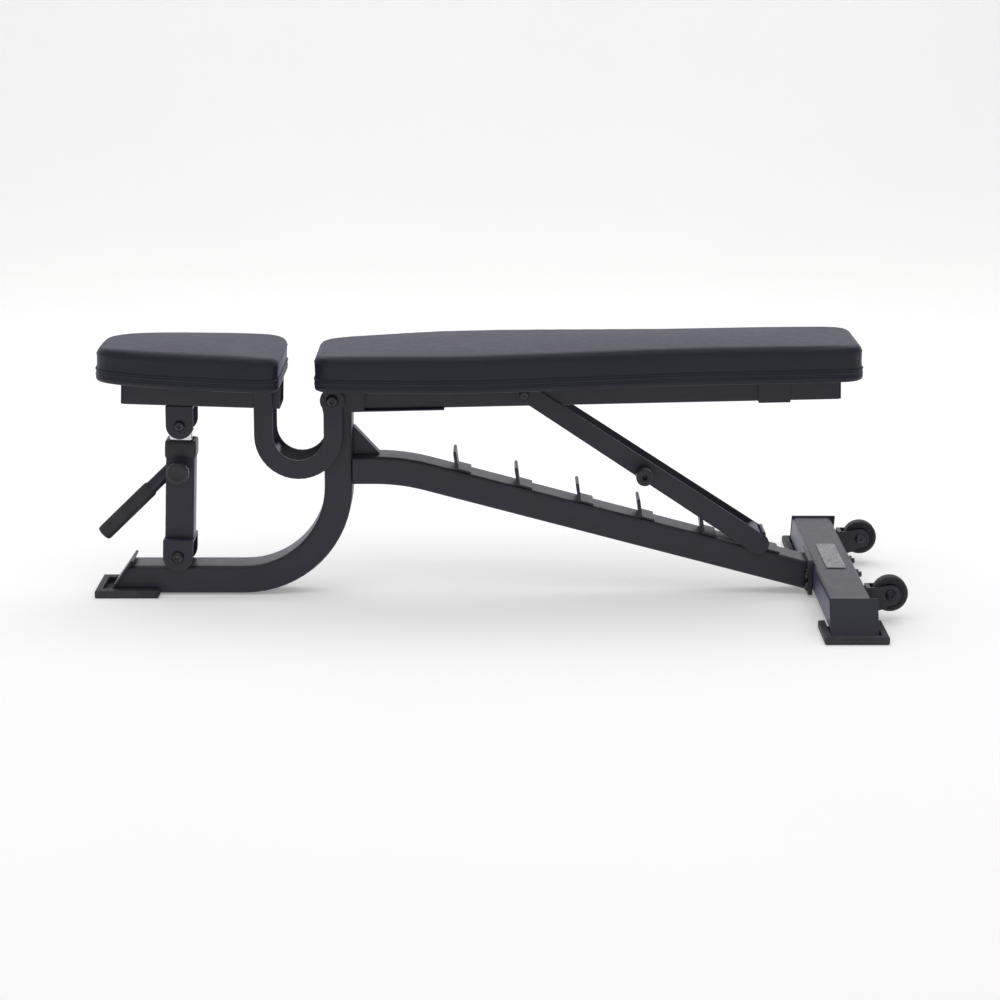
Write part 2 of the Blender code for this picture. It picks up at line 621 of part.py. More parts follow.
# ---- backrest and strut -------------------------------------------------------------------------
def back_parts():
    hinge = pivot("back_hinge", HINGE)
    frame = pivot("back_frame_axes", HINGE, hinge, -BACK_TILT)
    mid = (FRAME_BOTTOM + FRAME_TOP) / 2
    height = FRAME_TOP - FRAME_BOTTOM
    ends = BACK_FRAME
    strut = Vector((STRUT_TOP[0] - HINGE[0], STRUT_TOP[1] - HINGE[1]))
    strut_local = (strut.x * cos(BACK_TILT) + strut.y * sin(BACK_TILT),
                   strut.y * cos(BACK_TILT) - strut.x * sin(BACK_TILT))
    tube_obj = tube("back_frame", "frame_paint", [(ends[0], mid, 0), (ends[1], mid, 0)],
                    2 * FRAME_HALF, height, 0.0025, 0.004)
    drill(tube_obj, strut_local, 0.0053)
    cap = box("back_frame_cap", "black_plastic", (ends[1] + GAP, ends[1] + 0.003),
              (-FRAME_HALF + 0.001, FRAME_HALF - 0.001), (FRAME_BOTTOM + 0.001, FRAME_TOP - 0.001))
    saddle_x = (0.722, 0.776)
    skin = 0.0025
    saddle_half = FRAME_HALF + GAP + skin
    saddle = box("saddle_bracket", "frame_paint", saddle_x, (-saddle_half, saddle_half),
                 (FRAME_BOTTOM - GAP - skin, FRAME_TOP - GAP))
    combine(saddle, box("cutter", None, (0.7, 0.8), (-FRAME_HALF - GAP, FRAME_HALF + GAP),
                        (FRAME_BOTTOM - GAP, 0.1)), "DIFFERENCE")
    pieces = [tube_obj, cap, saddle,
              pad("back_pad", back_outline(0), BACK_TOP),
              prism("back_board", "board", back_outline(0.007), BOARD_BOTTOM, PAD_BOTTOM - GAP, axis="Z")]
    under = FRAME_BOTTOM - GAP - skin
    strip_top = FRAME_BOTTOM - GAP - 0.0002
    outline = arc((0, 0), 0.0195, 60, 285, 14) + [(0.020, under), (0.1890, under), (0.1890, strip_top),
                                                 (0.0535, strip_top), (0.0535, 0.0185), (0.016, 0.0185)]
    ears = prism("hinge_bracket", "frame_paint", outline, -0.0442, 0.0442)
    between = FRAME_HALF + GAP
    seat_for_tube = box("cutter", None, (-0.1, 0.1), (-between, between), (FRAME_BOTTOM - GAP, 0.1))
    combine(ears, seat_for_tube, "DIFFERENCE")
    room_for_bush = box("cutter", None, (-0.1, ends[0]), (-between, between), (-0.1, 0.1))
    combine(ears, room_for_bush, "DIFFERENCE")
    pieces.append(drill(ears, (0, 0), 0.0063))
    for piece in pieces:
        piece.parent = frame
    ride(through_bolt("strut_bolt", STRUT_TOP, 0.005, 0.0085, STRUT_OUT + GAP, 0.0045), hinge)


def strut_parts():
    hinge = pivot("strut_hinge", STRUT_TOP)
    foot = (CATCH_X[-1], beam_top(CATCH_X[-1]))
    reach = BAR_R + 0.0005
    slope_n = Vector((sin(BEAM_SLOPE), cos(BEAM_SLOPE)))
    tab_n = Vector((-cos(CATCH_LEAN), -sin(CATCH_LEAN)))
    # the bar touches the beam's top and the last tab's seat-side face
    det = slope_n.x * tab_n.y - slope_n.y * tab_n.x
    bar = (foot[0] + reach * (tab_n.y - slope_n.y) / det, foot[1] + reach * (slope_n.x - tab_n.x) / det)
    angle = math.degrees(math.atan2(STRUT_END[1] - STRUT_HEAD[1], STRUT_END[0] - STRUT_HEAD[0]))
    outline = (arc(STRUT_HEAD, STRUT_HEAD_R, angle + 90, angle + 270, 12)
               + arc(STRUT_END, STRUT_END_R, angle - 90, angle + 90, 14))
    for side, label in ((-1, "near"), (1, "far")):
        low, high = sorted((side * STRUT_IN, side * STRUT_OUT))
        plate = prism(f"strut_plate_{label}", "frame_paint", outline, low, high)
        drill(plate, STRUT_TOP, 0.0053)
        drill(plate, PEG, 0.0063)
        ride(plate, hinge)
    near, far = STRUT_OUT + GAP, STRUT_OUT + 0.040
    half = [(0.006, near), (0.0145, near), (0.0145, far - 0.0015), (0.013, far),
            (0.0045, far), (0.0045, far - 0.012), (0, far - 0.012)]
    profile = [(radius, -along) for radius, along in reversed(half)] + half
    ride(turned("lifting_pegs", "black_plastic", profile, (PEG[0], 0, PEG[1]), steps=18), hinge)
    bar_half = STRUT_IN - GAP
    ride(pipe("catch_bar", "frame_paint", bar, BAR_R, BAR_R - 0.004, -bar_half, bar_half, 20), hinge)


# ---- seat post ----------------------------------------------------------------------------------
def post_parts():
    """Telescoping post, drawn upright with its lower pivot at the origin, then leaned."""
    swing = pivot("post_pivot", POST_FOOT, turn=POST_LEAN)
    slide = pivot("post_slide_axes", POST_FOOT, swing, POST_LEAN)
    pull = pivot("pin_axes", POST_FOOT, swing, POST_LEAN)

    ear_r = 0.0257
    web = (0.0250, 0.0290)
    outline = arc((0, 0), ear_r, 180, 360, 14) + [(ear_r, web[1]), (-ear_r, web[1])]
    clevis = prism("lower_clevis", "frame_paint", outline, -0.0432, 0.0432)
    combine(clevis, box("cutter", None, (-0.1, 0.1), (-0.0388, 0.0388), (-0.1, web[0])), "DIFFERENCE")
    drill(clevis, (0, 0), 0.0053)

    low, high = web[1] + GAP, 0.1930
    wall = 0.003
    outer = box("post_tube", "frame_paint", (-POST_HALF, POST_HALF), (-POST_HALF, POST_HALF), (low, high))
    round_edges(outer, 0.004, upright_only=True, segments=3)
    bore = POST_HALF - wall
    combine(outer, box("cutter", None, (-bore, bore), (-bore, bore), (0, 0.3)), "DIFFERENCE")

    rim = 0.0015
    collar_z = (0.1690, 0.1990)
    half = POST_HALF + 0.0023
    collar = box("post_collar", "black_plastic", (-half, half), (-half, half), collar_z)
    round_edges(collar, 0.005, upright_only=True, segments=3)
    sleeve = POST_HALF + GAP
    combine(collar, box("cutter", None, (-sleeve, sleeve), (-sleeve, sleeve), (0, high + GAP)), "DIFFERENCE")
    mouth = INNER_HALF + rim
    combine(collar, box("cutter", None, (-mouth, mouth), (-mouth, mouth), (0, 0.3)), "DIFFERENCE")

    boss_profile = [(0, -0.038), (0.009, -0.038), (0.009, 0.001 - POST_HALF), (0, 0.001 - POST_HALF)]
    boss = turned("join", None, boss_profile, (0, 0, PIN_UP), steps=20)
    combine(outer, boss, "UNION")
    drill(outer, (0, PIN_UP), 0.0045, -0.1, 0.0)
    start = Vector((-POST_HALF - GAP, 0, 0.1385))
    drop = radians(226)
    away = Vector((cos(drop), 0, sin(drop)))
    handle = handle_pieces(start, away)
    bolt = through_bolt("lower_clevis_bolt", (0, 0), 0.005, 0.0103, 0.0435, 0.006)
    for piece in [clevis, outer, collar, bolt] + handle:
        piece.parent = swing

    inner_z = (0.0450, POST_LEN - 0.0145)
    across = (-INNER_HALF, INNER_HALF)
    inner = box("post_inner_tube", "bright_tube", across, across, inner_z)
    round_edges(inner, 0.003, upright_only=True, segments=3)
    core = INNER_HALF - 0.0025
    combine(inner, box("cutter", None, (-core, core), (-core, core), (0, 0.3)), "DIFFERENCE")
    slot = box("cutter", None, (-0.0052, 0.0052), (-0.05, 0.0), (0.0550, PIN_UP + 0.0068))
    combine(inner, slot, "DIFFERENCE")
    neck = box("join", None, (-0.012, 0.012), (-0.0380, 0.0380), (inner_z[1] - 0.004, POST_LEN))
    combine(inner, neck, "UNION")
    combine(inner, rod("join", None, (0, POST_LEN), 0.0138, -0.0380, 0.0380, 18), "UNION")
    drill(inner, (0, POST_LEN), 0.0088)
    inner.parent = slide

    pin = turned("pull_pin", "fastener", [(0, -0.0400), (0.0040, -0.0400), (0.0040, -0.0140),
                                          (0.0030, -0.0130), (0, -0.0130)], (0, 0, PIN_UP), steps=16)
    knob_profile = [(0, -0.0403), (0.0100, -0.0403), (0.0125, -0.0470), (0.0180, -0.0490),
                    (0.0190, -0.0540), (0.0190, -0.0620), (0.0165, -0.0660), (0, -0.0665)]
    knob = turned("pull_knob", "black_plastic", knob_profile, (0, 0, PIN_UP), steps=20)
    pin.parent = pull
    knob.parent = pull


def handle_pieces(start, away):
    """The lifting handle: a bar welded to the post's seat side, with a rubber grip over its end."""
    turn = away.to_track_quat("Z", "Y").to_matrix().to_4x4()
    place = Matrix.Translation(start) @ turn
    rod_r = 0.0115
    bar = turned("handle_rod", "frame_paint", [(0, -0.015), (rod_r, -0.015), (rod_r, 0.150), (0, 0.150)],
                 (0, 0, 0), "Z", 18)
    bar.data.transform(place)
    combine(bar, box("cutter", None, (start.x, 0.1), (-0.1, 0.1), (0, 0.3)), "DIFFERENCE")
    bore = rod_r + GAP
    profile = [(bore, 0.0390), (0.0126, 0.0390), (0.0136, 0.0430), (0.0136, 0.1500), (0.0126, 0.1545),
               (0, 0.1545), (0, 0.1503), (bore, 0.1503)]
    grip = turned("handle_grip", "rubber", profile, (0, 0, 0), "Z", 20)
    grip.data.transform(place)
    return [bar, grip]


def round_edges(obj, width, upright_only=False, segments=2):
    """Round a box's edges for good, so that later cuts see them."""
    bm = bmesh.new()
    bm.from_mesh(obj.data)
    edges = [e for e in bm.edges if not upright_only or abs(e.verts[0].co.z - e.verts[1].co.z) > 0.01]
    bmesh.ops.bevel(bm, geom=edges, offset=width, segments=segments, profile=0.5, affect="EDGES")
    bm.to_mesh(obj.data)
    bm.free()
    return obj


def build():
    clear_scene()
    main_tube()
    ladder_beam()
    for number in range(1, len(CATCH_X) + 1):
        catch(number)
    front_end()
    crossmember()
    flange()
    small_frame_parts()
    wheel_parts(-1, "near")
    wheel_parts(1, "far")
    seat_parts()
    back_parts()
    strut_parts()
    post_parts()


build()
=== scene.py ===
"""Looks of the adjustable weight bench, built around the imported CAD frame.

Order: sizes, camera and light, mesh helpers, materials, CAD nodes, pads, bolts and wheels, seat post,
strut, and then the build itself. All lengths are in metres, in the CAD's own frame.
"""
import json
import math
from math import atan2, cos, pi, radians, sin

import bmesh
import bpy
from mathutils import Matrix, Vector, noise
from mathutils.kdtree import KDTree


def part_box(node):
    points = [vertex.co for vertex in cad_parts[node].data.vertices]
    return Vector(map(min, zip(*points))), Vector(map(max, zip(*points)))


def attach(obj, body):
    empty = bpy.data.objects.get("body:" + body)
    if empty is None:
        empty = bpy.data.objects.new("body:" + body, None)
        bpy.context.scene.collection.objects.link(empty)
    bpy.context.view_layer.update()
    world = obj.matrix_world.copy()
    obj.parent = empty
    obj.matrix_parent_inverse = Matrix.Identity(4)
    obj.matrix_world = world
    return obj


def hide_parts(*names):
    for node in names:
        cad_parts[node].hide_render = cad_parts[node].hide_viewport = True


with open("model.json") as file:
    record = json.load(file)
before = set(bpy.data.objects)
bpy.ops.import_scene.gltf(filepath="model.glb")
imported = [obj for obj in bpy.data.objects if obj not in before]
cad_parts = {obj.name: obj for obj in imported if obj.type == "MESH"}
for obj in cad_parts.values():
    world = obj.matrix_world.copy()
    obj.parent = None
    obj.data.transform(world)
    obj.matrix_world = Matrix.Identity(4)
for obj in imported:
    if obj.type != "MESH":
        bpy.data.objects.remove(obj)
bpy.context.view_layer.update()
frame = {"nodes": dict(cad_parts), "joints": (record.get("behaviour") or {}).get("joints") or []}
NODES = frame["nodes"]
JOINTS = {joint["name"]: joint for joint in frame["joints"]}
HINGE = Vector(JOINTS["back_tilt"]["pos_m"])
POST_PIVOT = Vector(JOINTS["post_swing"]["pos_m"])
POST_UP = Vector(JOINTS["post_slide"]["axis"]).normalized()

CAMERA_PLACE = (0.009, -5.05, 1.2147)
CAMERA_PITCH = radians(11.805)    # down from level
LENS_MM = 108.0
SENSOR_MM = 36
LIGHT_COLOUR = (0.945, 0.945, 1.0)
WORLD_COLOUR = (0.930, 0.935, 1.0, 1)
WORLD_STRENGTH = 0.40

# Pads: lengths run along each pad from the hinge, heights above the hinge, in the pad's own tilted frame.
BACK_TILT = radians(1.25)
SEAT_TILT = radians(1.8)
SEAT_SPAN = (-0.4000, -0.0870)
SEAT_HALF = 0.142
SEAT_CORNER = 0.034
BACK_SPAN = (-0.0265, 0.8925)
BACK_HALF_HINGE = 0.118
BACK_HALF_WIDE = 0.151
BACK_HALF_HEAD = 0.118
BACK_CORNER_HINGE = 0.042
BACK_CORNER_HEAD = 0.036
PAD_BOTTOM = 0.0363
SEAT_TOP = 0.0812
BACK_TOP = 0.0840
PAD_EDGE = 0.0120                 # radius of a cover's top edge
SWELL = 0.0040                    # how far the middle of a cover stands above its edge
SIDE_SWELL = 0.0006               # the most that a side panel moves out or in
ARCH = 0.0035                     # how far a cover rises from its ends to its middle
ARCH_ABOVE = 0.055                # only the points above this height are arched
CALM_END = 0.13                   # the swell fades out over this length at each end
TOP_SKIN = 0.002                  # points this close below a cover's top belong to its top panel
HELD_BELOW = 0.046                # the cloth is held below this height, where the lower band is sewn on
VOXEL = 0.005                     # grain of the remeshed cover
CLOTH_STEPS = 20
PLAN_POINTS = 420

POST_HALF = 0.0245
PIN_UP = 0.1496                   # pull pin above the post's lower pivot
FLANGE_BOLT_Z = (0.0205, 0.0405)
BOLT_STEPS = 48
HEX = pi / 3                      # angle between two flats of a hexagon

# Width of the soft edge on each CAD node, by the start of its name. The empty name is for all the others.
ROUNDING = {
    "main_tube": 0,
    "ladder_beam": 0,
    "crossmember": 0,
    "catch": 0.0011,
    "u_plate": 0.0015,
    "strut_plate": 0.0014,
    "name_plate": 0.0004,
    "post_tube": 0.0005,
    "post_inner": 0.0003,
    "rear_foot": 0.0009,
    "front_foot": 0.0009,
    "seat_board": 0.0012,
    "back_board": 0.0012,
    "": 0.0008,
}

# Each cross bolt's node, body, head thickness and shank radius.
BOLTS = [
    ("hinge_axle", "root", 0.007, 0.006),
    ("upper_clevis_bolt", "seat", 0.006, 0.005),
    ("strut_bolt", "back", 0.0045, 0.005),
    ("lower_clevis_bolt", "post_outer", 0.006, 0.005),
]

# The band that rolls under the board, as (inset from the outline, height) round its closed section.
BAND = [(0.0060, 0.0430), (0.0004, 0.0432), (-0.0003, 0.0418), (-0.0006, 0.0392), (-0.0003, 0.0362),
        (0.0004, 0.0350), (-0.0004, 0.0336), (-0.0008, 0.0308), (-0.0005, 0.0276), (0.0008, 0.0252),
        (0.0036, 0.0240), (0.0080, 0.0236), (0.0190, 0.0236), (0.0192, 0.0241), (0.0066, 0.0241),
        (0.0062, 0.0270)]


# ---- stage --------------------------------------------------------------------------------------
def place_camera():
    data = bpy.data.cameras.new("camera")
    data.lens = LENS_MM
    data.sensor_width = SENSOR_MM
    data.dof.use_dof = False
    camera = bpy.data.objects.new("camera", data)
    bpy.context.scene.collection.objects.link(camera)
    camera.location = CAMERA_PLACE
    camera.rotation_euler = (pi / 2 - CAMERA_PITCH, 0, 0)
    bpy.context.scene.camera = camera


def soft_light(name, place, target, size, power):
    data = bpy.data.lights.new(name, "AREA")
    data.shape = "RECTANGLE"
    data.size, data.size_y = size
    data.energy = power
    data.color = LIGHT_COLOUR
    lamp = bpy.data.objects.new(name, data)
    bpy.context.scene.collection.objects.link(lamp)
    lamp.location = place
    lamp.rotation_euler = (Vector(target) - Vector(place)).to_track_quat("-Z", "Y").to_euler()


def light_world():
    world = bpy.data.worlds.new("world")
    bpy.context.scene.world = world
    world.use_nodes = True
    background = world.node_tree.nodes["Background"]
    background.inputs["Color"].default_value = WORLD_COLOUR
    background.inputs["Strength"].default_value = WORLD_STRENGTH
    bpy.context.scene.view_settings.view_transform = "Standard"


def lay_backdrop():
    """Seamless paper: a floor that bends up into a wall behind the bench."""
    front, back, half_width, bend, tall = -7.0, 4.0, 7.0, 1.6, 5.0
    steps = 14
    line = [(front, 0.0), (back, 0.0)]
    line += [(back + bend * sin(pi / 2 * i / steps), bend * (1 - cos(pi / 2 * i / steps)))
             for i in range(1, steps + 1)]
    line.append((back + bend, tall))
    bm = bmesh.new()
    rows = [[bm.verts.new((x, y, z)) for x in (-half_width, half_width)] for y, z in line]
    for low, high in zip(rows, rows[1:]):
        bm.faces.new((low[0], low[1], high[1], high[0]))
    paper = mesh_object(bm, "backdrop")
    paper.data.materials.append(paper_material())
    paper.data.shade_smooth()


def stage():
    place_camera()
    light_world()
    lay_backdrop()
    soft_light("key", (-0.3, -2.2, 4.4), (0, 0, 0.2), (6.0, 4.0), 74)
    soft_light("top", (0.0, 1.7, 3.7), (0, 0.0, 0.1), (6.0, 3.0), 60)
    soft_light("backdrop", (0.0, 2.2, 4.4), (0, 5.2, 1.2), (6.0, 2.0), 24)


# ---- mesh helpers -------------------------------------------------------------------------------
def mesh_object(bm, name, matrix=None, sharp=35):
    """Turn a bmesh into a smooth object, with edges sharper than so many degrees kept crisp."""
    bmesh.ops.remove_doubles(bm, verts=bm.verts, dist=1e-6)
    bmesh.ops.recalc_face_normals(bm, faces=bm.faces)
    if matrix is not None:
        bmesh.ops.transform(bm, matrix=matrix, verts=bm.verts)
    mesh = bpy.data.meshes.new(name)
    bm.to_mesh(mesh)
    bm.free()
    mesh.shade_smooth()
    mesh.set_sharp_from_angle(angle=radians(sharp))
    obj = bpy.data.objects.new(name, mesh)
    bpy.context.scene.collection.objects.link(obj)
    return obj


def skin(bm, rings, closed=False, capped=False):
    """Join each ring of points to the next; closed joins the last to the first, capped fills both ends."""
    for a, b in zip(rings, rings[1:] + (rings[:1] if closed else [])):
        for i in range(len(a)):
            j = (i + 1) % len(a)
            bm.faces.new((a[i], a[j], b[j], b[i]))
    if capped:
        bm.faces.new(rings[0])
        bm.faces.new(rings[-1])


def piece(obj, body, slot, *nodes):
    """Give an object its body, its material slot and the CAD nodes that it stands for."""
    obj.data.materials.clear()
    obj.data.materials.append(MATERIAL[slot])
    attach(obj, body)
    if nodes:
        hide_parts(*nodes)
    return obj


def plan_loft(name, plan, levels, bent=None):
    """Close a stack of (inset, height) rings of one plan; bent(x, height) can move a point's height."""
    bm = bmesh.new()
    rings = [[bm.verts.new((x + nx * inset, y + ny * inset, bent(x, height) if bent else height))
              for (x, y), (nx, ny) in zip(plan, inward_normals(plan))] for inset, height in levels]
    skin(bm, rings, capped=True)
    return mesh_object(bm, name)


def arc(centre, radius, start, end, steps):
    """Points on an arc from one angle to another, in degrees."""
    angles = [radians(start + (end - start) * i / steps) for i in range(steps + 1)]
    return [(centre[0] + radius * cos(a), centre[1] + radius * sin(a)) for a in angles]


def round_rectangle(half_x, half_y, corner):
    """Plan of a rectangle with round corners, running counter-clockwise."""
    plan = []
    for sx, sy, start in ((1, 1, 0), (-1, 1, 90), (-1, -1, 180), (1, -1, 270)):
        plan += arc((sx * (half_x - corner), sy * (half_y - corner)), corner, start, start + 90, 6)
    return plan


def turned(name, profile, matrix, steps=BOLT_STEPS, ripple=None):
    """Revolve a closed (radius, along) profile about Z; ripple(angle, radius, along) scales the radius."""
    bm = bmesh.new()
    rings = []
    for radius, along in profile:
        if radius < 1e-7:
            rings.append([bm.verts.new((0, 0, along))])
            continue
        ring = []
        for i in range(steps):
            angle = 2 * pi * i / steps
            reach = radius * (ripple(angle, radius, along) if ripple else 1.0)
            ring.append(bm.verts.new((reach * cos(angle), reach * sin(angle), along)))
        rings.append(ring)
    pairs = list(zip(rings, rings[1:]))
    if profile[0][0] > 1e-7:
        pairs.append((rings[-1], rings[0]))
    for a, b in pairs:
        for i in range(steps):
            j = (i + 1) % steps
            corners = list(dict.fromkeys([a[i % len(a)], a[j % len(a)], b[j % len(b)], b[i % len(b)]]))
            if len(corners) > 2:
                bm.faces.new(corners)
    return mesh_object(bm, name, matrix)


def along_y(place):
    """Turn a piece drawn along Z to lie along Y, at a place."""
    return Matrix.Translation(place) @ Matrix.Rotation(-pi / 2, 4, "X")


def sweep_ring(name, outline, profile, matrix):
    """Loft a closed (inset, height) profile round a closed plan outline."""
    bm = bmesh.new()
    rings = [[bm.verts.new((x + nx * inset, y + ny * inset, height)) for inset, height in profile]
             for (x, y), (nx, ny) in zip(outline, inward_normals(outline))]
    skin(bm, rings, closed=True)
    return mesh_object(bm, name, matrix, sharp=60)


def inward_normals(outline):
    """The direction into a clockwise outline at each of its points. On the other kind it points outward."""
    count = len(outline)
    normals = []
    for i in range(count):
        before, after = outline[i - 1], outline[(i + 1) % count]
        run = Vector((after[0] - before[0], after[1] - before[1])).normalized()
        normals.append((run.y, -run.x))
    return normals


# ---- materials ----------------------------------------------------------------------------------
class Look:
    """Builds one node material on Object coordinates, which are metres in the row frame."""

    def __init__(self, name):
        self.made = bpy.data.materials.new(name)
        self.made.use_nodes = True
        self.tree = self.made.node_tree
        self.shader = self.tree.nodes["Principled BSDF"]
        self.where = self.tree.nodes.new("ShaderNodeTexCoord").outputs["Object"]
        self.surface = None

    def texture(self, kind, scale, stretch=None, **settings):
        """A noise or Voronoi texture at so many features a metre."""
        node = self.tree.nodes.new({"noise": "ShaderNodeTexNoise", "cells": "ShaderNodeTexVoronoi"}[kind])
        source = self.where
        if stretch:
            mapping = self.tree.nodes.new("ShaderNodeMapping")
            mapping.inputs["Scale"].default_value = stretch
            self.tree.links.new(source, mapping.inputs["Vector"])
            source = mapping.outputs["Vector"]
        self.tree.links.new(source, node.inputs["Vector"])
        node.inputs["Scale"].default_value = scale
        for key, value in settings.items():
            if key in node.inputs:
                node.inputs[key].default_value = value
            else:
                setattr(node, key, value)
        return node.outputs["Fac" if kind == "noise" else "Distance"]

    def between(self, value, low, high, from_low=0.35, from_high=0.65):
        """Map a texture's value onto a range of numbers."""
        node = self.tree.nodes.new("ShaderNodeMapRange")
        self.tree.links.new(value, node.inputs["Value"])
        node.inputs["From Min"].default_value = from_low
        node.inputs["From Max"].default_value = from_high
        node.inputs["To Min"].default_value = low
        node.inputs["To Max"].default_value = high
        return node.outputs["Result"]

    def colour(self, value, *stops):
        """Map a texture's value onto colours, given as (position, colour)."""
        ramp = self.tree.nodes.new("ShaderNodeValToRGB")
        self.tree.links.new(value, ramp.inputs["Fac"])
        elements = ramp.color_ramp.elements
        while len(elements) < len(stops):
            elements.new(0.5)
        for element, (position, shade) in zip(elements, stops):
            element.position = position
            element.color = (*shade, 1)
        self.link(ramp.outputs["Color"], "Base Color")

    def link(self, value, socket):
        self.tree.links.new(value, self.shader.inputs[socket])

    def fixed(self, **values):
        for key, value in values.items():
            self.shader.inputs[key.replace("_", " ")].default_value = value

    def bump(self, value, depth, strength=1.0):
        """Lay one more bump over the earlier ones; depth is in metres."""
        node = self.tree.nodes.new("ShaderNodeBump")
        self.tree.links.new(value, node.inputs["Height"])
        node.inputs["Distance"].default_value = depth
        node.inputs["Strength"].default_value = strength
        if self.surface:
            self.tree.links.new(self.surface, node.inputs["Normal"])
        self.surface = node.outputs["Normal"]
        self.link(self.surface, "Normal")


def powder_coat():
    """Satin charcoal powder coat: fine orange peel, faint blotches and scuffs."""
    look = Look("frame_paint")
    patches = look.texture("noise", 22, Detail=6.0, Roughness=0.6)
    look.colour(patches, (0.30, (0.0245, 0.0240, 0.0345)), (0.70, (0.0285, 0.0280, 0.0400)))
    look.link(look.between(look.texture("noise", 60, Detail=5.0), 0.365, 0.405), "Roughness")
    look.fixed(Specular_IOR_Level=0.33, Sheen_Weight=0.13, Sheen_Roughness=0.35,
               Sheen_Tint=(0.42, 0.42, 1.0, 1))
    look.bump(look.texture("noise", 900, Detail=3.0), 0.00006, 0.45)
    return look.made


def vinyl():
    """Matt black upholstery vinyl with a fine pebbled grain."""
    look = Look("pad_vinyl")
    patches = look.texture("noise", 9, Detail=5.0)
    look.colour(patches, (0.32, (0.0090, 0.0088, 0.0190)), (0.68, (0.0110, 0.0107, 0.0220)))
    look.link(look.between(look.texture("noise", 70, Detail=4.0), 0.455, 0.505), "Roughness")
    look.fixed(Specular_IOR_Level=0.36, Sheen_Weight=0.13, Sheen_Roughness=0.35,
               Sheen_Tint=(0.38, 0.38, 1.0, 1))
    look.bump(look.texture("cells", 620, feature="SMOOTH_F1", Smoothness=0.4), 0.00014, 0.5)
    look.bump(look.texture("noise", 1500, Detail=3.0), 0.00006, 0.5)
    return look.made


def plywood():
    """Pressed board under the pads, in thin plies with long grain."""
    look = Look("board")
    grain = look.texture("noise", 6, stretch=(2.0, 26.0, 60.0), Detail=8.0, Distortion=0.6)
    look.colour(grain, (0.30, (0.20, 0.125, 0.068)), (0.52, (0.33, 0.22, 0.125)), (0.72, (0.42, 0.30, 0.18)))
    look.link(look.between(grain, 0.62, 0.80), "Roughness")
    look.bump(grain, 0.0004, 0.5)
    return look.made


def moulded(name, dark, light, rough, grain_scale, depth):
    """Moulded plastic or rubber with a spark-eroded grain."""
    look = Look(name)
    patches = look.texture("noise", 40, Detail=5.0)
    look.colour(patches, (0.30, dark), (0.70, light))
    look.link(look.between(look.texture("noise", 150, Detail=4.0), *rough), "Roughness")
    look.bump(look.texture("noise", grain_scale, Detail=4.0), depth, 0.6)
    look.bump(look.texture("cells", grain_scale * 0.6), depth, 0.35)
    return look.made


def metal(name, dark, light, rough, stretch, depth):
    """Bare or blackened metal with drawn lines along one direction."""
    look = Look(name)
    lines = look.texture("noise", 30, stretch=stretch, Detail=6.0)
    look.colour(lines, (0.30, dark), (0.70, light))
    look.link(look.between(look.texture("noise", 90, Detail=4.0), *rough), "Roughness")
    look.fixed(Metallic=1.0)
    look.bump(lines, depth, 0.4)
    return look.made


def plate_metal():
    """Pale brushed plate with faint mottling, left blank."""
    look = Look("name_plate")
    mottle = look.texture("noise", 160, Detail=8.0, Roughness=0.7)
    look.colour(mottle, (0.36, (0.13, 0.13, 0.15)), (0.50, (0.27, 0.27, 0.30)), (0.66, (0.46, 0.46, 0.50)))
    look.link(look.between(look.texture("noise", 260, stretch=(1.0, 0.05, 1.0), Detail=4.0), 0.34, 0.55),
              "Roughness")
    look.fixed(Metallic=0.6)
    look.bump(look.texture("noise", 700, stretch=(1.0, 0.08, 1.0), Detail=3.0), 0.00008, 0.6)
    return look.made


def paper_material():
    """Seamless pale studio paper."""
    look = Look("paper")
    patches = look.texture("noise", 1.5, Detail=3.0)
    look.colour(patches, (0.30, (0.915, 0.910, 0.870)), (0.70, (0.930, 0.925, 0.885)))
    look.fixed(Roughness=0.95, Specular_IOR_Level=0.05, Emission_Color=(1.0, 1.0, 1.0, 1),
               Emission_Strength=0.25)
    look.bump(look.texture("noise", 500, Detail=2.0), 0.00005, 0.2)
    return look.made


MATERIAL = {
    "frame_paint": powder_coat(),
    "pad_vinyl": vinyl(),
    "board": plywood(),
    "black_plastic": moulded("black_plastic", (0.012, 0.012, 0.014), (0.021, 0.021, 0.024),
                             (0.36, 0.50), 1300, 0.00008),
    "rubber": moulded("rubber", (0.019, 0.020, 0.023), (0.032, 0.033, 0.038), (0.55, 0.72), 900, 0.00012),
    "tyre": moulded("tyre", (0.013, 0.013, 0.015), (0.024, 0.024, 0.027), (0.42, 0.60), 1100, 0.0001),
    "fastener": metal("fastener", (0.035, 0.035, 0.040), (0.085, 0.085, 0.092), (0.30, 0.46),
                      (1.0, 4.0, 1.0), 0.00005),
    "bright_tube": metal("bright_tube", (0.62, 0.63, 0.65), (0.76, 0.77, 0.79), (0.12, 0.22),
                         (3.0, 3.0, 0.3), 0.00003),
    "name_plate": plate_metal(),
}


# ---- CAD nodes that stay ------------------------------------------------------------------------
def dress_nodes():
    """Give every CAD node its material and soft edges, with the width set by name."""
    for name, node in NODES.items():
        slot = node.data.materials[0].name.split(".")[0]
        node.data.materials[0] = MATERIAL[slot]
        weld = node.modifiers.new("weld", "WELD")
        weld.merge_threshold = 0.00002
        flat = node.modifiers.new("planar", "DECIMATE")
        flat.decimate_type = "DISSOLVE"
        flat.angle_limit = radians(0.4)
        width = next(w for start, w in ROUNDING.items() if name.startswith(start))
        if width:
            edge = node.modifiers.new("edges", "BEVEL")
            edge.width = width
            edge.segments = 3
            edge.limit_method = "ANGLE"
            edge.angle_limit = radians(32)
            edge.use_clamp_overlap = True
            edge.harden_normals = False
        normals = node.modifiers.new("normals", "WEIGHTED_NORMAL")
        normals.keep_sharp = False
        normals.weight = 60


